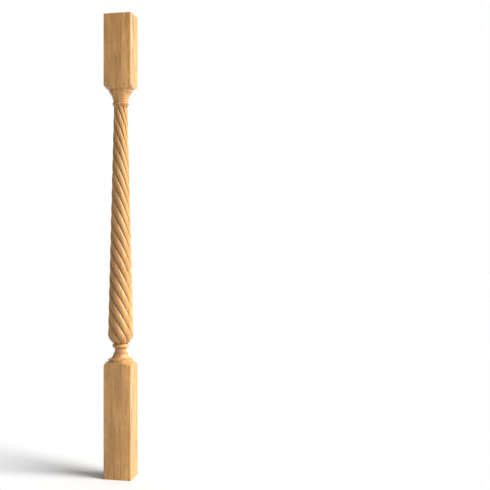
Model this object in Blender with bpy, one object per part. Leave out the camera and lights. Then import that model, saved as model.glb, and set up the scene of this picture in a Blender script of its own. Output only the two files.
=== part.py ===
"""Twist-carved oak baluster: a square stick, turned between its two blocks and carved as a rope.

One solid piece of wood, standing on its foot. The foot's centre is the origin, +Z is up and the
square blocks' faces look along X and Y. Lengths are in metres and angles in radians.
"""

import math

import bmesh
import bpy
from mathutils import Vector

# The square stick that the baluster is made from, and the blocks left square at its ends
HEIGHT = 1.000
SIDE = 0.060
LOWER_BLOCK = 0.2509
UPPER_BLOCK = 0.1622

# The turned shoulders of the blocks: how far each drops to the arrises, and its crown
LOWER_SHOULDER = 0.0067
LOWER_CROWN = 0.0004
UPPER_SHOULDER = 0.0078
UPPER_CROWN = 0.0009

# Turned members above the lower block, from the block up: heights, then radii
BASE_FILLET = 0.0050
BASE_COVE = 0.0095
COLLAR_FILLET = 0.0036
NECK = 0.0111
BEAD = 0.0098
BASE_FILLET_RADIUS = 0.0271
BASE_COVE_RADIUS = 0.0265
BASE_COVE_DEPTH = 0.0018
COLLAR_FILLET_RADIUS = 0.0162
NECK_RADIUS = 0.01305
BEAD_RADIUS = 0.0180

# Turned members below the upper block, from the block down: heights, then radii
HEAD_FILLET = 0.0038
HEAD_COVE = 0.0230
RING = 0.0048
RING_FILLET = 0.0026
HEAD_FILLET_RADIUS = 0.0254
HEAD_COVE_RADIUS = 0.0249
HEAD_COVE_DEPTH = 0.0019
WAIST_RADIUS = 0.0158
RING_RADIUS = 0.0182
RING_FILLET_RADIUS = 0.0161

# The carved shaft: a left-hand rope that tapers upwards, with a dome for its foot
STRANDS = 8
PITCH = 0.2453
GROOVE_ANGLE = math.radians(22.0)
GROOVE_RADIUS_SHARE = 0.885
DOME = 0.0226
DOME_CURVE = 0.0270
SHAFT_RADIUS = 0.02765
SHAFT_HEAD_RADIUS = 0.0148
SHAFT_LEDGE = 0.0004

# How finely the round surfaces are faceted
POINTS_PER_STRAND = 6
COLUMNS = STRANDS * POINTS_PER_STRAND
COLUMN_ANGLE = 2 * math.pi / COLUMNS
SHOULDER_STEPS = 4
COVE_STEPS = 6
BEAD_STEPS = 8
RING_STEPS = 6
DOME_STEPS = 8
SHAFT_STEPS = 44

# The turning runs past the stick's arrises and ends, so that the stick's flat faces cut it
ARRIS_RADIUS = SIDE / math.sqrt(2)
CLEARANCE = 0.001

OAK_COLOUR = (0.62, 0.38, 0.17, 1.0)
OAK_ROUGHNESS = 0.45


def clear_scene():
    for item in list(bpy.data.objects):
        bpy.data.objects.remove(item, do_unlink=True)


def oak():
    material = bpy.data.materials.new("light_oak")
    material.use_nodes = True
    shader = material.node_tree.nodes["Principled BSDF"]
    shader.inputs["Base Color"].default_value = OAK_COLOUR
    shader.inputs["Roughness"].default_value = OAK_ROUGHNESS
    shader.inputs["Metallic"].default_value = 0.0
    return material


def bowed(start, end, rise, steps):
    """Points (radius, z) of an arc. It rises to the left of the way from start to end.

    On a profile drawn upwards, a positive rise hollows a cove and a negative one crowns it.
    """
    start, end = Vector(start), Vector(end)
    along = (end - start).normalized()
    left = Vector((-along.y, along.x))
    half_chord = (end - start).length / 2
    radius = (half_chord**2 + rise**2) / (2 * rise)
    half_angle = math.asin(half_chord / radius)
    centre = (start + end) / 2 + left * (rise - radius)
    angles = [half_angle * (2 * step / steps - 1) for step in range(steps + 1)]
    return [centre + left * radius * math.cos(a) + along * radius * math.sin(a) for a in angles]


def half_round(low, height, inner, outer, steps, top_radius=None):
    """Points (radius, z) of a bead, up from z = low, that stop where it narrows to top_radius."""
    top_radius = inner if top_radius is None else top_radius
    last = math.pi - math.asin((top_radius - inner) / (outer - inner))
    angles = [last * step / steps for step in range(steps + 1)]
    return [
        Vector((inner + (outer - inner) * math.sin(a), low + height * (1 - math.cos(a)) / 2))
        for a in angles
    ]


def lower_profile():
    """The turning from inside the lower block up to the bead under the shaft."""
    block = LOWER_BLOCK
    cove = block + BASE_FILLET
    collar = cove + BASE_COVE
    neck = collar + COLLAR_FILLET
    bead = neck + NECK
    blank = ARRIS_RADIUS + CLEARANCE
    dome_foot = dome_radius(0.0)
    points = [Vector((blank, -CLEARANCE))]
    points += bowed(
        (blank, block - LOWER_SHOULDER),
        (BASE_FILLET_RADIUS + CLEARANCE / 2, block),
        -LOWER_CROWN,
        SHOULDER_STEPS,
    )
    points += [Vector((BASE_FILLET_RADIUS, block)), Vector((BASE_FILLET_RADIUS, cove))]
    points += bowed(
        (BASE_COVE_RADIUS, cove), (COLLAR_FILLET_RADIUS, collar), BASE_COVE_DEPTH, COVE_STEPS
    )
    points += [Vector((COLLAR_FILLET_RADIUS, neck)), Vector((NECK_RADIUS, neck))]
    points += half_round(bead, BEAD, NECK_RADIUS, BEAD_RADIUS, BEAD_STEPS, dome_foot + SHAFT_LEDGE)
    return points


def dome_radius(height):
    """The dome's radius at a height above its foot: part of an ellipse whose widest point ends it."""
    return SHAFT_RADIUS * math.sqrt(1 - ((DOME - height) / DOME_CURVE) ** 2)


def shaft_profile(foot, head):
    """The crests of the strands: the dome, then a straight taper up to the shaft's head."""
    points = []
    for step in range(DOME_STEPS):
        height = DOME * math.sin(math.pi / 2 * step / DOME_STEPS)
        points.append(Vector((dome_radius(height), foot + height)))
    for step in range(SHAFT_STEPS + 1):
        share = step / SHAFT_STEPS
        radius = SHAFT_RADIUS + (SHAFT_HEAD_RADIUS - SHAFT_RADIUS) * share
        points.append(Vector((radius, foot + DOME + (head - foot - DOME) * share)))
    return points


def upper_profile():
    """The turning from the ring over the shaft up into the upper block."""
    block = HEIGHT - UPPER_BLOCK
    fillet = block - HEAD_FILLET
    cove = fillet - HEAD_COVE
    ring = cove - RING
    blank = ARRIS_RADIUS + CLEARANCE
    points = [Vector((RING_FILLET_RADIUS, ring - RING_FILLET)), Vector((RING_FILLET_RADIUS, ring))]
    points += half_round(ring, RING, WAIST_RADIUS, RING_RADIUS, RING_STEPS)
    points += bowed(
        (WAIST_RADIUS, cove), (HEAD_COVE_RADIUS, fillet), HEAD_COVE_DEPTH, COVE_STEPS
    )
    points += [Vector((HEAD_FILLET_RADIUS, fillet)), Vector((HEAD_FILLET_RADIUS, block))]
    points += bowed(
        (HEAD_FILLET_RADIUS + CLEARANCE / 2, block),
        (blank, block + UPPER_SHOULDER),
        -UPPER_CROWN,
        SHOULDER_STEPS,
    )
    points.append(Vector((blank, HEIGHT + CLEARANCE)))
    return points


def strand_share(column):
    """The section's radius at a column, as a share of the crests' radius.

    Each strand is a round lobe: a circle whose centre lies off the axis, from groove to groove.
    """
    to_groove = math.pi / STRANDS
    groove = GROOVE_RADIUS_SHARE
    offset = (1 - groove**2) / (2 * (1 - groove * math.cos(to_groove)))
    angle = column % POINTS_PER_STRAND * COLUMN_ANGLE - to_groove
    return offset * math.cos(angle) + math.sqrt(
        (1 - offset) ** 2 - (offset * math.sin(angle)) ** 2
    )


def ring_of_points(mesh, radius, z, turn, carved):
    points = []
    for column in range(COLUMNS):
        reach = radius * strand_share(column) if carved else radius
        angle = turn + column * COLUMN_ANGLE
        points.append(mesh.verts.new((reach * math.cos(angle), reach * math.sin(angle), z)))
    return points


def straddling(turn):
    """A turn within half a column at which the stick's arrises fall midway between two columns."""
    return (math.floor(turn / COLUMN_ANGLE) + 0.5) * COLUMN_ANGLE


def turning_mesh():
    """The turned and carved surface, ring by ring from the foot to the head."""
    mesh = bmesh.new()
    lower, upper = lower_profile(), upper_profile()
    foot, head = lower[-1].y, upper[0].y
    shaft = shaft_profile(foot, head)
    head_turn = GROOVE_ANGLE - 2 * math.pi * (head - foot) / PITCH
    rings = [ring_of_points(mesh, r, z, straddling(GROOVE_ANGLE), False) for r, z in lower]
    for r, z in shaft:
        turn = GROOVE_ANGLE - 2 * math.pi * (z - foot) / PITCH
        rings.append(ring_of_points(mesh, r, z, turn, True))
    rings += [ring_of_points(mesh, r, z, straddling(head_turn), False) for r, z in upper]
    for below, above in zip(rings, rings[1:]):
        for column in range(COLUMNS):
            after = (column + 1) % COLUMNS
            mesh.faces.new((below[column], below[after], above[after], above[column]))
    mesh.faces.new(reversed(rings[0]))
    mesh.faces.new(rings[-1])
    return mesh


def new_object(name, mesh):
    data = bpy.data.meshes.new(name)
    mesh.to_mesh(data)
    mesh.free()
    item = bpy.data.objects.new(name, data)
    bpy.context.scene.collection.objects.link(item)
    return item


def square_stick():
    """The stick before it is turned, which cuts the turning down to the blocks' flat faces."""
    mesh = bmesh.new()
    bmesh.ops.create_cube(mesh, size=1.0)
    bmesh.ops.scale(mesh, vec=(SIDE, SIDE, HEIGHT), verts=mesh.verts)
    bmesh.ops.translate(mesh, vec=(0, 0, HEIGHT / 2), verts=mesh.verts)
    stick = new_object("square_stick", mesh)
    stick.hide_render = True
    stick.display_type = "WIRE"
    return stick


def make_baluster():
    baluster = new_object("baluster", turning_mesh())
    baluster.data.materials.append(oak())
    baluster.data.shade_smooth()
    baluster.data.set_sharp_from_angle(angle=math.radians(30))
    squared = baluster.modifiers.new("squared_ends", "BOOLEAN")
    squared.operation = "INTERSECT"
    squared.solver = "EXACT"
    squared.object = square_stick()
    return baluster


clear_scene()
make_baluster()
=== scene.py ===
import math

import bpy
import numpy as np
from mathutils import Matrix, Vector


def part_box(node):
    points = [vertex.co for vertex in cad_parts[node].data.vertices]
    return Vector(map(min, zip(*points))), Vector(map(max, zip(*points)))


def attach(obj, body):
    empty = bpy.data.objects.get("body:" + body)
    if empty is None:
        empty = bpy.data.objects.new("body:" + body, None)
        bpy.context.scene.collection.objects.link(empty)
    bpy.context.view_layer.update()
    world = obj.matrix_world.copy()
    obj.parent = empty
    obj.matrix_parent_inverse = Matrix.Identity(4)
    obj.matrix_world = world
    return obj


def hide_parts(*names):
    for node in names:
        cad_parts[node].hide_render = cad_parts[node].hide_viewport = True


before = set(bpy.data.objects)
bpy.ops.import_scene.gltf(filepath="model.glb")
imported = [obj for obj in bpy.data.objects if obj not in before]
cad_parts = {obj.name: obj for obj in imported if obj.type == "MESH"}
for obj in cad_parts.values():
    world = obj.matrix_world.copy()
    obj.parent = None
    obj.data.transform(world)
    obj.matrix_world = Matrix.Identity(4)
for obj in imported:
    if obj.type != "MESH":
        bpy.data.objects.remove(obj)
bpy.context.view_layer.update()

mm = 0.001

# The camera stands level, to the right of the front face, and far enough for the fit of all block corners.
# The picture is taken as 490 pixels wide, and the baluster stands left of its middle.
cameraView = {
    "pictureWidth": 490,
    "focalPixels": 973.1,
    "axisColumn": 120.72,      # pixel column of the baluster's axis
    "azimuth": 15.64,          # degrees to the right of the front face
    "distance": 2.110,
    "height": 0.503,
    "sensorWidth": 36.0,
}


def makeCamera(view):
    turn = math.radians(view["azimuth"])
    data = bpy.data.cameras.new("camera")
    data.sensor_width = view["sensorWidth"]
    data.lens = view["sensorWidth"] * view["focalPixels"] / view["pictureWidth"]
    data.shift_x = 0.5 - view["axisColumn"] / view["pictureWidth"]
    data.clip_end = 100.0
    camera = bpy.data.objects.new("camera", data)
    camera.location = (view["distance"] * math.sin(turn), -view["distance"] * math.cos(turn), view["height"])
    camera.rotation_euler = (math.pi / 2, 0.0, turn)
    bpy.context.scene.collection.objects.link(camera)
    bpy.context.scene.camera = camera


makeCamera(cameraView)
print("camera placed")


def addNode(tree, kind, inputs=None, **settings):
    # one shader node: settings are its properties, inputs are numbers, colours or other nodes' sockets
    made = tree.nodes.new(kind)
    for name, value in settings.items():
        setattr(made, name, value)
    for name, value in (inputs or {}).items():
        if isinstance(value, bpy.types.NodeSocket):
            tree.links.new(value, made.inputs[name])
        else:
            made.inputs[name].default_value = value
    return made


def calc(tree, operation, first, second=0.0):
    return addNode(tree, "ShaderNodeMath", {0: first, 1: second}, operation=operation).outputs[0]


def vectorCalc(tree, operation, first, second):
    return addNode(tree, "ShaderNodeVectorMath", {0: first, 1: second}, operation=operation).outputs[0]


def remap(tree, value, low, high, toLow=0.0, toHigh=1.0, smooth=True):
    made = addNode(
        tree,
        "ShaderNodeMapRange",
        {"Value": value, "From Min": low, "From Max": high, "To Min": toLow, "To Max": toHigh},
        interpolation_type="SMOOTHSTEP" if smooth else "LINEAR",
    )
    return made.outputs["Result"]


def noise(tree, vector, grain, detail=2.0, roughness=0.5):
    # soft noise with this many waves per unit along each axis
    made = addNode(
        tree,
        "ShaderNodeTexNoise",
        {
            "Vector": vectorCalc(tree, "MULTIPLY", vector, grain),
            "Scale": 1.0,
            "Detail": detail,
            "Roughness": roughness,
        },
        noise_dimensions="3D",
    )
    return made.outputs["Fac"]


def blend(tree, share, first, second):
    # the Mix node's numbered sockets are those of its colour form
    return addNode(tree, "ShaderNodeMix", {0: share, 6: first, 7: second}, data_type="RGBA").outputs[2]


def brightened(tree, colour, value):
    return addNode(tree, "ShaderNodeHueSaturation", {"Color": colour, "Value": value}).outputs[0]


def newMaterial(name):
    made = bpy.data.materials.new(name)
    made.use_nodes = True
    return made, made.node_tree, made.node_tree.nodes["Principled BSDF"]


# Soft studio light: a pale surround, brightest at the level of the eye, and one wide key light from
# the right, a little in front and above.
studio = {
    "horizonStrength": 1.0,
    "ceilingStrength": 0.5,
    "bandTop": 0.25,           # sine of the elevation where the bright band starts to fade
    "ceilingFrom": 0.6,
    "darkSide": (-0.80, -0.60, 0.0),   # the surround is dimmer here, left of the front
    "darkStrength": 0.5,
    "darkFull": 0.9,           # cosine of the angle from that side within which it is dimmest
    "keyStrength": 4.0,
    "keyAngle": 38.0,          # degrees across
    "keyElevation": 36.0,
    "keyAzimuth": -12.0,       # degrees from +X, towards the front
    "floorSize": 40.0,
    "floorColour": (0.80, 0.80, 0.80, 1.0),
    "floorRoughness": 0.9,
    "floorSpecular": 0.1,
    "contrast": 0.75,          # gamma of the picture
}


def makeWorld(light):
    world = bpy.data.worlds.new("studio")
    world.use_nodes = True
    tree = world.node_tree
    place = addNode(tree, "ShaderNodeTexCoord").outputs["Generated"]
    height = addNode(tree, "ShaderNodeSeparateXYZ", {0: place}).outputs["Z"]
    upward = remap(
        tree, height, light["bandTop"], light["ceilingFrom"], light["horizonStrength"], light["ceilingStrength"]
    )
    darkward = addNode(
        tree, "ShaderNodeVectorMath", {0: place, 1: light["darkSide"]}, operation="DOT_PRODUCT"
    ).outputs["Value"]
    sideways = remap(tree, darkward, 0.0, light["darkFull"], 1.0, light["darkStrength"])
    around = calc(tree, "MULTIPLY", upward, sideways)
    # seen directly, the surround is plain and pale on every side
    seen = addNode(tree, "ShaderNodeLightPath").outputs["Is Camera Ray"]
    strength = calc(tree, "MAXIMUM", around, calc(tree, "MULTIPLY", seen, light["horizonStrength"]))
    background = tree.nodes["Background"]
    background.inputs["Color"].default_value = (1.0, 1.0, 1.0, 1.0)
    tree.links.new(strength, background.inputs["Strength"])
    bpy.context.scene.world = world


def makeKeyLight(light):
    data = bpy.data.lights.new("key_light", "SUN")
    data.energy = light["keyStrength"]
    data.angle = math.radians(light["keyAngle"])
    key = bpy.data.objects.new("key_light", data)
    up = math.radians(light["keyElevation"])
    around = math.radians(light["keyAzimuth"])
    towards = Vector((math.cos(up) * math.cos(around), math.cos(up) * math.sin(around), math.sin(up)))
    key.rotation_euler = towards.to_track_quat("Z", "Y").to_euler()
    key.location = towards * 3.0
    bpy.context.scene.collection.objects.link(key)


def makeFloor(light):
    half = light["floorSize"] / 2
    data = bpy.data.meshes.new("floor")
    data.from_pydata(
        [(-half, -half, 0.0), (half, -half, 0.0), (half, half, 0.0), (-half, half, 0.0)], [], [(0, 1, 2, 3)]
    )
    material, tree, shader = newMaterial("pale_floor")
    shader.inputs["Base Color"].default_value = light["floorColour"]
    shader.inputs["Roughness"].default_value = light["floorRoughness"]
    shader.inputs["Specular IOR Level"].default_value = light["floorSpecular"]
    data.materials.append(material)
    floor = bpy.data.objects.new("floor", data)
    bpy.context.scene.collection.objects.link(floor)


makeWorld(studio)
makeKeyLight(studio)
makeFloor(studio)
bpy.context.scene.view_settings.view_transform = "Standard"
bpy.context.scene.view_settings.gamma = studio["contrast"]
print("studio set")

# The baluster's sizes, in millimetres. Height and side come from the frame's solid.
lowest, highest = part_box("baluster")
balusterShape = {
    "height": (highest[2] - lowest[2]) / mm,
    "side": (highest[0] - lowest[0]) / mm,
    "arris": 0.6,              # radius of the eased long edges
    "endEase": 0.6,
    "edgeEase": 0.35,          # radius of the eased edges between turned members
    "hollowEase": 0.12,
    "lowerBlock": 250.9,
    "lowerShoulder": 6.7,
    "lowerCrown": 0.4,
    "baseFillet": 5.0,
    "baseFilletRadius": 27.1,
    "baseCove": 9.5,
    "baseCoveRadius": 26.5,
    "baseCoveDepth": 1.8,
    "collarFillet": 3.6,
    "collarRadius": 16.2,
    "neck": 11.1,
    "neckRadius": 13.05,
    "bead": 9.8,
    "beadRadius": 18.0,
    "upperBlock": 162.2,
    "upperShoulder": 7.8,
    "upperCrown": -0.9,        # below zero: this shoulder is a little hollow
    "headFillet": 3.8,
    "headFilletRadius": 25.4,
    "headCove": 23.0,
    "headCoveRadius": 24.9,
    "headCoveDepth": 1.9,
    "waistRadius": 15.8,
    "ring": 4.8,
    "ringRadius": 18.2,
    "ringFillet": 2.6,
    "ringFilletRadius": 16.1,
    "ledge": 0.4,
    "seamRadius": 13.4,        # how far in the seam between bead and strands goes
    "seamHeight": 1.15,        # the strands' lower edge above the bead's own edge
    "seamBottom": 0.62,        # height of the strands' inner end, as a share of that
    "strandEnd": 1.2,          # how round the strands' lower edge is
    "nick": 0.45,              # the turner's nick in every hollow corner
    "strands": 8,
    "pitch": 245.3,
    "grooveAngle": 22.0,       # degrees from +X, at the shaft's foot
    "grooveShare": 0.885,
    "quirk": 1.0,             # depth of the sharp cut at the bottom of a groove
    "quirkWidth": 0.85,        # half its width
    "dome": 22.6,
    "domeCurve": 27.0,
    "shaftRadius": 27.65,
    "shaftHeadRadius": 14.8,
}
balusterMesh = {
    "columnsPerStrand": 30,
    "columnBias": 0.62,        # how much closer the columns stand at grooves and arrises
    "shaftRows": 114,
    "domeRows": 26,
    "strandEndSteps": 5,
    "coveSteps": 14,
    "beadSteps": 24,
    "ringSteps": 16,
    "headCoveSteps": 20,
    "longestStep": 1.6,
    "endShares": (0.2, 0.4, 0.6, 0.8, 0.92, 0.975),    # the end faces' rows, as shares of the way out
    "faceMargin": 0.8,         # from the end's edge to the first row of the faces
    "faceRows": 8,
    "shoulderRows": 14,
    "easeSteps": 5,
    "smoothBend": 0.42,        # sine of the bend under which a corner of a profile stays as it is
    "legShare": 0.3,           # the most of a short leg that an eased corner takes
    "guardShare": 0.4,         # from an eased corner to its guard points, as a share of its reach
    "grooveShadeReach": 0.9,         # how far the painted shade reaches beside a groove
    "seamShadeReach": 0.8,           # and above the seam
}


def curve(start, end, rise, steps):
    # points (radius, z) from start to end on a shallow parabola that stands off the chord by rise, to its left
    start, end = np.array(start), np.array(end)
    along = (end - start) / np.linalg.norm(end - start)
    left = np.array((-along[1], along[0]))
    t = np.linspace(0, 1, steps + 1)[:, None]
    return start + (end - start) * t + left * rise * 4 * t * (1 - t)


def halfRound(low, height, inner, outer, topRadius, steps):
    # half an ellipse, from its lower end up to where it has narrowed again to topRadius
    last = math.pi - math.asin((topRadius - inner) / (outer - inner))
    a = np.linspace(0, last, steps + 1)
    return np.stack((inner + (outer - inner) * np.sin(a), low + height * (1 - np.cos(a)) / 2), -1)


def beadRound(shape, low, topRadius, steps):
    return halfRound(low, shape["bead"], shape["neckRadius"], shape["beadRadius"], topRadius, steps)


def easeCorners(points, shape, fine):
    # every sharp corner of a profile becomes a small quadratic curve, with a guard point on either side.
    # Returns the points and, for each, +1 on an edge, -1 in a hollow and 0 elsewhere
    steps, guard = fine["easeSteps"], fine["guardShare"]
    legs = np.diff(points, axis=0)
    lengths = np.linalg.norm(legs, axis=1)
    ways = legs / lengths[:, None]
    t = np.linspace(0, 1, steps)[:, None]
    eased, kinds = [points[:1]], [np.zeros(1)]
    for i in range(1, len(points) - 1):
        inward, outward, corner = ways[i - 1], ways[i], points[i]
        bend = inward[0] * outward[1] - inward[1] * outward[0]
        if abs(bend) < fine["smoothBend"] and inward @ outward > 0:
            eased.append(points[i:i + 1])
            kinds.append(np.zeros(1))
            continue
        ease = shape["edgeEase"] if bend > 0 else shape["hollowEase"]
        reach = min(ease, fine["legShare"] * lengths[i - 1], fine["legShare"] * lengths[i])
        before, after = corner - inward * reach, corner + outward * reach
        bow = (1 - t) ** 2 * before + 2 * t * (1 - t) * corner + t**2 * after
        eased.append(np.vstack((before - inward * reach * guard, bow, after + outward * reach * guard)))
        kinds.append(np.sign(bend) * np.concatenate(([0.5], np.ones(steps), [0.5])))
    eased.append(points[-1:])
    kinds.append(np.zeros(1))
    return np.vstack(eased), np.concatenate(kinds)


def fillGaps(points, kinds, longest):
    # extra points where a step of the profile is long
    pieces, marks = [], []
    for i in range(len(points) - 1):
        count = max(1, math.ceil(np.linalg.norm(points[i + 1] - points[i]) / longest))
        t = np.arange(count)[:, None] / count
        pieces.append(points[i] + (points[i + 1] - points[i]) * t)
        marks.append(kinds[i] + (kinds[i + 1] - kinds[i]) * t[:, 0])
    pieces.append(points[-1:])
    marks.append(kinds[-1:])
    return np.vstack(pieces), np.concatenate(marks)


def domeRadius(shape, height):
    # the dome at the shaft's foot: part of an ellipse that ends at its widest point
    return shape["shaftRadius"] * np.sqrt(1 - ((shape["dome"] - height) / shape["domeCurve"]) ** 2)


def strandFoot(shape, fine):
    # the crests from the bottom of the seam, out under the strands' rounded lower edge and up over the dome
    start = shape["seamHeight"]
    a = np.linspace(0, math.pi / 2, fine["domeRows"] + 1)[:-1]
    heights = start + (shape["dome"] - start) * (1 - np.cos(a))
    dome = np.stack((domeRadius(shape, heights), heights), -1)
    inner = np.array((shape["seamRadius"], start * shape["seamBottom"]))
    end = shape["strandEnd"]
    corner = dome[0]
    t = np.linspace(0, 1, fine["strandEndSteps"] + 1)[:, None]
    inward = inner - corner
    before = corner + inward * min(1.0, end / np.linalg.norm(inward))
    above = np.array((np.interp(start + end, heights, dome[:, 0]), start + end))
    bow = (1 - t) ** 2 * before + 2 * t * (1 - t) * corner + t**2 * above
    return np.vstack((inner, bow, dome[heights > start + end]))


def lowerTurning(shape, fine):
    # turned members from the top of the lower block to the seam under the strands, as (radius, z)
    block = shape["lowerBlock"]
    cove = block + shape["baseFillet"]
    collar = cove + shape["baseCove"]
    neck = collar + shape["collarFillet"]
    bead = neck + shape["neck"]
    fillet, collarRadius, neckRadius = shape["baseFilletRadius"], shape["collarRadius"], shape["neckRadius"]
    coveFoot, nick = (shape["baseCoveRadius"], cove), shape["nick"]
    return np.vstack((
        [(fillet - nick, block - nick * 0.2), (fillet, block + nick * 0.8), (fillet, cove)],
        curve(coveFoot, (collarRadius, collar), shape["baseCoveDepth"], fine["coveSteps"]),
        [(collarRadius, neck), (neckRadius + nick * 0.6, neck), (neckRadius - nick * 0.7, neck + nick * 0.3)],
        [(neckRadius, neck + nick * 1.4), (neckRadius, bead - nick * 1.2)],
        [(neckRadius - nick, bead - nick * 0.2)],
        beadRound(shape, bead, shape["seamRadius"], fine["beadSteps"])[1:],
    ))


def upperTurning(shape, fine):
    # turned members from the ring's fillet up to the underside of the upper block
    block = shape["height"] - shape["upperBlock"]
    fillet = block - shape["headFillet"]
    cove = fillet - shape["headCove"]
    ring = cove - shape["ring"]
    waist, head, nick = shape["waistRadius"], shape["headFilletRadius"], shape["nick"]
    under = shape["ringFilletRadius"]
    headCove = (shape["headCoveRadius"], fillet)
    return np.vstack((
        [(under, ring - shape["ringFillet"]), (under, ring - nick * 0.6), (under - nick * 0.8, ring)],
        halfRound(ring, shape["ring"], waist, shape["ringRadius"], waist, fine["ringSteps"])[2:-1],
        [(waist - nick * 0.5, cove)],
        curve((waist, cove + nick), headCove, shape["headCoveDepth"], fine["headCoveSteps"]),
        [(head, fillet), (head, block - nick * 0.8), (head - nick, block + nick * 0.2)],
    ))


def strandShare(shape, fromGroove):
    # the section of the rope as a share of its widest radius: round lobes between the grooves. Each is part
    # of a circle whose centre lies off the axis, on the way to the lobe's crest
    groove = shape["grooveShare"]
    half = math.pi / shape["strands"]
    offset = (1 - groove**2) / (2 * (1 - groove * math.cos(half)))
    fromCrest = fromGroove - half
    return offset * np.cos(fromCrest) + np.sqrt((1 - offset) ** 2 - (offset * np.sin(fromCrest)) ** 2)


def roundedSquare(shape, angle):
    # distance from the axis to the stick's faces: flat, then a small quarter circle at each arris
    half, corner = shape["side"] / 2, shape["arris"]
    folded = np.abs((angle + math.pi / 4) % (math.pi / 2) - math.pi / 4)
    flat = half / np.cos(folded)
    centre = math.sqrt(2) * (half - corner)
    across = centre * np.sin(math.pi / 4 - folded)
    rounded = centre * np.cos(math.pi / 4 - folded) + np.sqrt(np.maximum(corner**2 - across**2, 0))
    return np.where(flat * np.sin(folded) > half - corner, rounded, flat)


def blockRows(shape, fine, squareRadius, innerRadius, shoulder, crown, length):
    # one block, from its end face to the turned member: every column runs out over the end face, up the flat
    # face to where the turned shoulder meets it, and in over the shoulder. Heights are measured from the end
    reach = shape["side"] / math.sqrt(2) - innerRadius

    def shoulderHeight(radius):
        t = (radius - innerRadius) / reach
        return length - shoulder * t + crown * 4 * t * (1 - t)

    ease, end = shape["edgeEase"], shape["endEase"]
    t = np.linspace(0, 1, fine["easeSteps"])[:, None]
    top = shoulderHeight(squareRadius)
    endRadius = squareRadius * np.array(fine["endShares"])[:, None]
    bottomRadius = squareRadius - end * (1 - t) ** 2
    bottomHeight = end * t**2
    faceShares = np.linspace(0, 1, fine["faceRows"] + 2)[1:-1, None]
    lowestFace = end + fine["faceMargin"]
    highestFace = top - ease * 1.8
    faceHeight = lowestFace + (highestFace - lowestFace) * np.vstack(([[0.0]], faceShares, [[1.0]]))
    inside = squareRadius - ease
    edgeRadius = (1 - t) ** 2 * squareRadius + 2 * t * (1 - t) * squareRadius + t**2 * inside
    edgeHeight = (1 - t) ** 2 * (top - ease) + 2 * t * (1 - t) * top + t**2 * shoulderHeight(inside)
    s = np.linspace(0, 1, fine["shoulderRows"] + 1)[1:, None]
    slopeRadius = inside + (innerRadius - inside) * s
    radius = np.vstack((
        endRadius, bottomRadius, np.repeat(squareRadius[None], len(faceHeight), 0), edgeRadius, slopeRadius
    ))
    height = np.vstack((
        endRadius * 0, bottomHeight + 0 * squareRadius, faceHeight, edgeHeight, shoulderHeight(slopeRadius)
    ))
    return radius, height


def columnAngles(shape, fine):
    # the columns' angles from a groove, all the way round. They stand closest at the grooves
    perStrand = fine["columnsPerStrand"]
    strandAngle = 2 * math.pi / shape["strands"]
    s = np.arange(perStrand) / perStrand
    within = (s - fine["columnBias"] / (2 * math.pi) * np.sin(2 * math.pi * s)) * strandAngle
    strandStarts = np.arange(shape["strands"])[:, None] * strandAngle
    return (strandStarts + within).ravel(), np.tile(within, shape["strands"])


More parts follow.
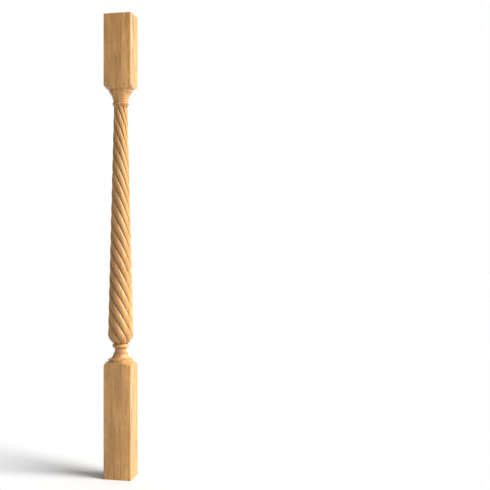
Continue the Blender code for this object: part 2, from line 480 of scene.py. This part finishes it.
def balusterGrid(shape, fine):
    # the whole surface as rows of points from the centre of the foot to the centre of the head, in millimetres
    columns, fromGroove = columnAngles(shape, fine)
    strandAngle = 2 * math.pi / shape["strands"]
    grooveAngle = math.radians(shape["grooveAngle"])
    lower, upper = lowerTurning(shape, fine), upperTurning(shape, fine)
    beadEdge = beadRound(shape, 0.0, domeRadius(shape, 0.0) + shape["ledge"], 1)[-1, 1]
    foot = lower[-1, 1] + beadEdge - beadRound(shape, 0.0, shape["seamRadius"], 1)[-1, 1]
    head = upper[0, 1]
    headTurn = grooveAngle - 2 * math.pi * (head - foot) / shape["pitch"]
    lowerTurn = round(grooveAngle / strandAngle) * strandAngle
    upperTurn = round(headTurn / strandAngle) * strandAngle

    # the bead runs in to the bottom of the seam, and the strands come out of it
    lower, lowerKinds = easeCorners(lower, shape, fine)
    lower, lowerKinds = fillGaps(lower, lowerKinds, fine["longestStep"])
    # the seam's innermost point is marked for painted shade
    lowerKinds[-1] = -1
    upper, upperKinds = easeCorners(upper, shape, fine)
    upper, upperKinds = fillGaps(upper, upperKinds, fine["longestStep"])

    # the carved shaft: the crests' radius at each row, the dome's rows close together at its foot
    dome = strandFoot(shape, fine)
    taper = np.linspace(0, 1, fine["shaftRows"] + 1)
    shaftRadius = np.concatenate((
        dome[:, 0],
        shape["shaftRadius"] + (shape["shaftHeadRadius"] - shape["shaftRadius"]) * taper,
    ))
    shaftHeight = foot + np.concatenate((dome[:, 1], shape["dome"] + (head - foot - shape["dome"]) * taper))
    share = strandShare(shape, fromGroove)
    toGroove = np.minimum(fromGroove, strandAngle - fromGroove)
    cut = shaftRadius[:, None] * toGroove / shape["quirkWidth"]
    quirk = shape["quirk"] * np.clip(1 - cut, 0, 1) ** 1.5
    carvedRadius = shaftRadius[:, None] * share - quirk
    carvedHeight = np.repeat(shaftHeight[:, None], len(columns), 1)

    # the blocks' columns stand at their own turn, so that a column runs up every arris
    square = roundedSquare(shape, lowerTurn + columns)
    footRadius, footHeight = blockRows(
        shape, fine, square, shape["baseFilletRadius"],
        shape["lowerShoulder"], shape["lowerCrown"], shape["lowerBlock"],
    )
    square = roundedSquare(shape, upperTurn + columns)
    headRadius, headHeight = blockRows(
        shape, fine, square, shape["headFilletRadius"],
        shape["upperShoulder"], shape["upperCrown"], shape["upperBlock"],
    )
    wide = np.ones(len(columns))
    radius = np.vstack((
        footRadius, lower[:, :1] * wide, carvedRadius, upper[:, :1] * wide, headRadius[::-1]
    ))
    height = np.vstack((
        footHeight, lower[:, 1:] * wide, carvedHeight, upper[:, 1:] * wide, shape["height"] - headHeight[::-1]
    ))
    # between block and shaft the columns turn, unseen on a round member
    knots = (shape["lowerBlock"], foot, head, shape["height"] - shape["upperBlock"])
    turn = np.interp(height.mean(axis=1), knots, (lowerTurn, grooveAngle, headTurn, upperTurn))
    angle = turn[:, None] + columns
    points = np.stack((radius * np.cos(angle), radius * np.sin(angle), height), -1) * mm

    # marks for painted light: painted shade is 1 in grooves, hollows and just above the seam, and a painted
    # highlight is 1 on edges
    paintedShade = np.zeros(radius.shape)
    paintedHighlight = np.zeros(radius.shape)
    first, last = len(footRadius), len(footRadius) + len(lower)
    # in the turned members' hollow corners the shade is painted, and on their edges a highlight
    paintedShade[first:last] = np.clip(-lowerKinds, 0, 1)[:, None]
    paintedHighlight[first:last] = np.clip(lowerKinds, 0, 1)[:, None]
    shaftRows = slice(last, last + len(shaftRadius))
    # painted shade along each groove and along the seam under the strands
    shadeBesideGroove = np.exp(-(shaftRadius[:, None] * toGroove / fine["grooveShadeReach"]) ** 2)
    shadeAboveSeam = np.exp(-((shaftHeight - foot) / fine["seamShadeReach"]) ** 2)
    paintedShade[shaftRows] = np.maximum(shadeBesideGroove, shadeAboveSeam[:, None])
    first, last = shaftRows.stop, shaftRows.stop + len(upper)
    # the same painted shade and painted highlight on the upper members
    paintedShade[first:last] = np.clip(-upperKinds, 0, 1)[:, None]
    paintedHighlight[first:last] = np.clip(upperKinds, 0, 1)[:, None]
    return points, paintedShade, paintedHighlight


def closedSurface(name, points, marks):
    # rows of points become quads, and each end is closed by a fan round one more point at its centre
    rows, columns = points.shape[:2]
    index = np.arange(rows * columns).reshape(rows, columns)
    after = np.roll(index, -1, axis=1)
    quads = np.stack((index[:-1], after[:-1], after[1:], index[1:]), -1).reshape(-1, 4)
    foot, head = rows * columns, rows * columns + 1
    centres = (points[0].mean(axis=0), points[-1].mean(axis=0))
    footFan = np.stack((np.full(columns, foot), after[0], index[0]), -1)
    headFan = np.stack((np.full(columns, head), index[-1], after[-1]), -1)
    data = bpy.data.meshes.new(name)
    data.from_pydata(
        np.vstack((points.reshape(-1, 3), centres)).tolist(),
        [],
        quads.tolist() + footFan.tolist() + headFan.tolist(),
    )
    for markName, values in marks.items():
        layer = data.attributes.new(markName, "FLOAT", "POINT")
        layer.data.foreach_set("value", np.concatenate((values.ravel(), (0, 0))).astype(np.float32))
    data.shade_smooth()
    data.validate()
    return data


def makeBaluster(material):
    points, paintedShade, paintedHighlight = balusterGrid(balusterShape, balusterMesh)
    # the surface carries two marks for painted light: painted shade in grooves and hollows, a painted highlight
    # on edges
    data = closedSurface("turned_baluster", points, {"paintedShade": paintedShade, "paintedHighlight": paintedHighlight})
    data.materials.append(material)
    baluster = bpy.data.objects.new("turned_baluster", data)
    bpy.context.scene.collection.objects.link(baluster)
    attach(baluster, "root")
    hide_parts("baluster")
    rows, columns = points.shape[:2]
    print("baluster made,", rows, "rows of", columns, "columns,", len(data.polygons), "faces")


# Lacquered oak, in millimetres. The stick is glued up from three boards, side by side along X, and the rings
# of each run round a pith of its own. A grain is a noise's number of waves per millimetre along X, Y and Z:
# all figure is long along the stick, and most of it runs back from the front face.
oakFinish = {
    "boardHalf": 10.0,
    "rightTone": 0.17,         # how much lighter the right board is
    "leftTone": 0.04,          # and how much darker the left one
    "pith": (78.0, 14.0),
    "shiftRight": (-132.0, 31.0, 415.0),
    "shiftLeft": (175.0, -22.0, -730.0),
    "lean": 0.016,             # how far the pith leans along X, per millimetre of height
    "ringSpacing": 1.45,
    "slowGrain": (0.03, 0.03, 0.006),
    "slowReach": 9.0,          # how far the slow waves move a ring
    "quickGrain": (0.30, 0.04, 0.016),
    "quickReach": 3.2,
    "faintest": 0.05,          # strength of the faintest ring
    "poreGrain": (3.0, 1.6, 0.17),
    "poreCut": (0.56, 0.68),
    "poresBetween": 0.22,      # share of the pores that lie outside the early wood
    "fibreGrain": (2.6, 0.5, 0.06),
    "fibreTones": (0.80, 1.18),
    "streakGrain": (0.55, 0.10, 0.008),
    "streakCut": (0.32, 0.68),
    "lineGrain": (0.85, 0.10, 0.010),
    "lineCut": 0.05,
    "cloudGrain": (0.06, 0.06, 0.012),
    "cloudTones": (0.88, 1.12),
    "ringShare": 0.45,
    "lineShare": 0.55,
    "poreShare": 0.75,
    # painted shade: how strongly grooves and hollows are darkened
    "paintedShadeShare": 0.62,
    # painted highlight: how far edges are lightened towards the pale colour
    "paintedHighlightShare": 0.25,
    "paleColour": (0.63, 0.41, 0.20, 1.0),
    "midColour": (0.50, 0.298, 0.126, 1.0),
    "ringColour": (0.25, 0.112, 0.032, 1.0),
    "poreColour": (0.17, 0.068, 0.018, 1.0),
    # the colour of the painted shade in grooves and hollows
    "paintedShadeColour": (0.19, 0.075, 0.018, 1.0),
    "roughness": (0.34, 0.46),
    "poreRoughness": 0.25,     # added where a pore is open
    "fibreRelief": 0.6,        # height of the fibre against a pore's depth
    "reliefDepth": 0.14,
    "reliefStrength": 0.7,
    "specular": 0.5,
    "coat": 0.15,
    "coatRoughness": 0.25,
}


def boardPoint(tree, finish, point, rightBoard, leftBoard):
    # the point in millimetres, moved in the two outer boards so that each has a figure of its own
    shiftRight = vectorCalc(tree, "MULTIPLY", finish["shiftRight"], rightBoard)
    shiftLeft = vectorCalc(tree, "MULTIPLY", finish["shiftLeft"], leftBoard)
    return vectorCalc(tree, "ADD", point, vectorCalc(tree, "ADD", shiftRight, shiftLeft))


def earlyWood(tree, finish, board):
    # rings: distance from a slightly leaning pith, made uneven by slow and quick noise. In each ring the
    # early wood opens sharply and closes softly, and no two rings are equally strong
    axes = addNode(tree, "ShaderNodeSeparateXYZ", {0: board})
    leaning = calc(tree, "ADD", axes.outputs["X"], calc(tree, "MULTIPLY", axes.outputs["Z"], finish["lean"]))
    fromPithX = calc(tree, "SUBTRACT", leaning, finish["pith"][0])
    fromPithY = calc(tree, "SUBTRACT", axes.outputs["Y"], finish["pith"][1])
    squareX = calc(tree, "MULTIPLY", fromPithX, fromPithX)
    squareY = calc(tree, "MULTIPLY", fromPithY, fromPithY)
    distance = calc(tree, "SQRT", calc(tree, "ADD", squareX, squareY))
    slow = calc(tree, "MULTIPLY", noise(tree, board, finish["slowGrain"]), finish["slowReach"])
    quick = calc(tree, "MULTIPLY", noise(tree, board, finish["quickGrain"], 3.0), finish["quickReach"])
    uneven = calc(tree, "ADD", slow, quick)
    phase = calc(tree, "DIVIDE", calc(tree, "ADD", distance, uneven), finish["ringSpacing"])
    ring = calc(tree, "FRACT", phase)
    ringNumber = calc(tree, "FLOOR", phase)
    chance = addNode(tree, "ShaderNodeTexWhiteNoise", {"W": ringNumber}, noise_dimensions="1D")
    strength = remap(tree, chance.outputs["Value"], 0.15, 1.0, finish["faintest"], 1.0, smooth=False)
    opening = remap(tree, ring, 0.0, 0.08)
    closing = remap(tree, ring, 0.12, 0.5, 1.0, 0.0)
    return calc(tree, "MULTIPLY", calc(tree, "MULTIPLY", opening, closing), strength)


def grainLines(tree, finish, board, fibre):
    # thin dark lines at uneven distances, where a noise passes its middle value, broken up by the fibre
    offLine = calc(tree, "ABSOLUTE", calc(tree, "SUBTRACT", noise(tree, board, finish["lineGrain"]), 0.5))
    onLine = remap(tree, offLine, 0.0, finish["lineCut"], 1.0, 0.0)
    return calc(tree, "MULTIPLY", onLine, remap(tree, fibre, 0.35, 0.62, 0.25, 1.0))


def makeOak(finish):
    material, tree, shader = newMaterial("lacquered_oak")
    place = addNode(tree, "ShaderNodeTexCoord").outputs["Object"]
    point = vectorCalc(tree, "MULTIPLY", place, (1 / mm, 1 / mm, 1 / mm))
    across = addNode(tree, "ShaderNodeSeparateXYZ", {0: point}).outputs["X"]
    rightBoard = calc(tree, "GREATER_THAN", across, finish["boardHalf"])
    leftBoard = calc(tree, "LESS_THAN", across, -finish["boardHalf"])
    board = boardPoint(tree, finish, point, rightBoard, leftBoard)

    # pores are short dark dashes along the grain, most of them in the early wood
    early = earlyWood(tree, finish, board)
    fibre = noise(tree, board, finish["fibreGrain"], 3.0, 0.6)
    line = grainLines(tree, finish, board, fibre)
    pores = remap(tree, noise(tree, board, finish["poreGrain"], 1.0), *finish["poreCut"])
    porous = remap(tree, early, 0.0, 0.8, finish["poresBetween"], 1.0, smooth=False)
    pore = calc(tree, "MULTIPLY", pores, porous)

    # colour, from the ground up: streaks, rings, lines, fibre, slow clouds, the board's tone and the pores
    streak = remap(tree, noise(tree, board, finish["streakGrain"], 4.0, 0.65), *finish["streakCut"])
    ground = blend(tree, streak, finish["midColour"], finish["paleColour"])
    ringed = blend(tree, calc(tree, "MULTIPLY", early, finish["ringShare"]), ground, finish["ringColour"])
    lined = blend(tree, calc(tree, "MULTIPLY", line, finish["lineShare"]), ringed, finish["ringColour"])
    fibred = brightened(tree, lined, remap(tree, fibre, 0.3, 0.7, *finish["fibreTones"], smooth=False))
    cloud = noise(tree, board, finish["cloudGrain"])
    clouded = brightened(tree, fibred, remap(tree, cloud, 0.3, 0.7, *finish["cloudTones"], smooth=False))
    lighter = calc(tree, "ADD", 1.0, calc(tree, "MULTIPLY", rightBoard, finish["rightTone"]))
    boardTone = calc(tree, "SUBTRACT", lighter, calc(tree, "MULTIPLY", leftBoard, finish["leftTone"]))
    boarded = brightened(tree, clouded, boardTone)
    pored = blend(tree, calc(tree, "MULTIPLY", pore, finish["poreShare"]), boarded, finish["poreColour"])

    # painted shade darkens the grooves and hollows, and a painted highlight makes edges a little paler
    paintedShade = addNode(tree, "ShaderNodeAttribute", attribute_name="paintedShade").outputs["Fac"]
    paintedHighlight = addNode(tree, "ShaderNodeAttribute", attribute_name="paintedHighlight").outputs["Fac"]
    shadePainted = blend(tree, calc(tree, "MULTIPLY", paintedShade, finish["paintedShadeShare"]), pored, finish["paintedShadeColour"])
    # painted highlight on every eased edge
    highlightPainted = blend(tree, calc(tree, "MULTIPLY", paintedHighlight, finish["paintedHighlightShare"]), shadePainted, finish["paleColour"])
    tree.links.new(highlightPainted, shader.inputs["Base Color"])

    smoothness = remap(tree, fibre, 0.3, 0.7, *finish["roughness"], smooth=False)
    roughness = calc(tree, "ADD", smoothness, calc(tree, "MULTIPLY", pore, finish["poreRoughness"]))
    tree.links.new(roughness, shader.inputs["Roughness"])
    relief = calc(tree, "SUBTRACT", calc(tree, "MULTIPLY", fibre, finish["fibreRelief"]), pore)
    bump = addNode(
        tree,
        "ShaderNodeBump",
        {"Strength": finish["reliefStrength"], "Distance": finish["reliefDepth"] * mm, "Height": relief},
    )
    tree.links.new(bump.outputs[0], shader.inputs["Normal"])
    shader.inputs["Specular IOR Level"].default_value = finish["specular"]
    shader.inputs["Coat Weight"].default_value = finish["coat"]
    shader.inputs["Coat Roughness"].default_value = finish["coatRoughness"]
    print("oak mixed")
    return material


makeBaluster(makeOak(oakFinish))
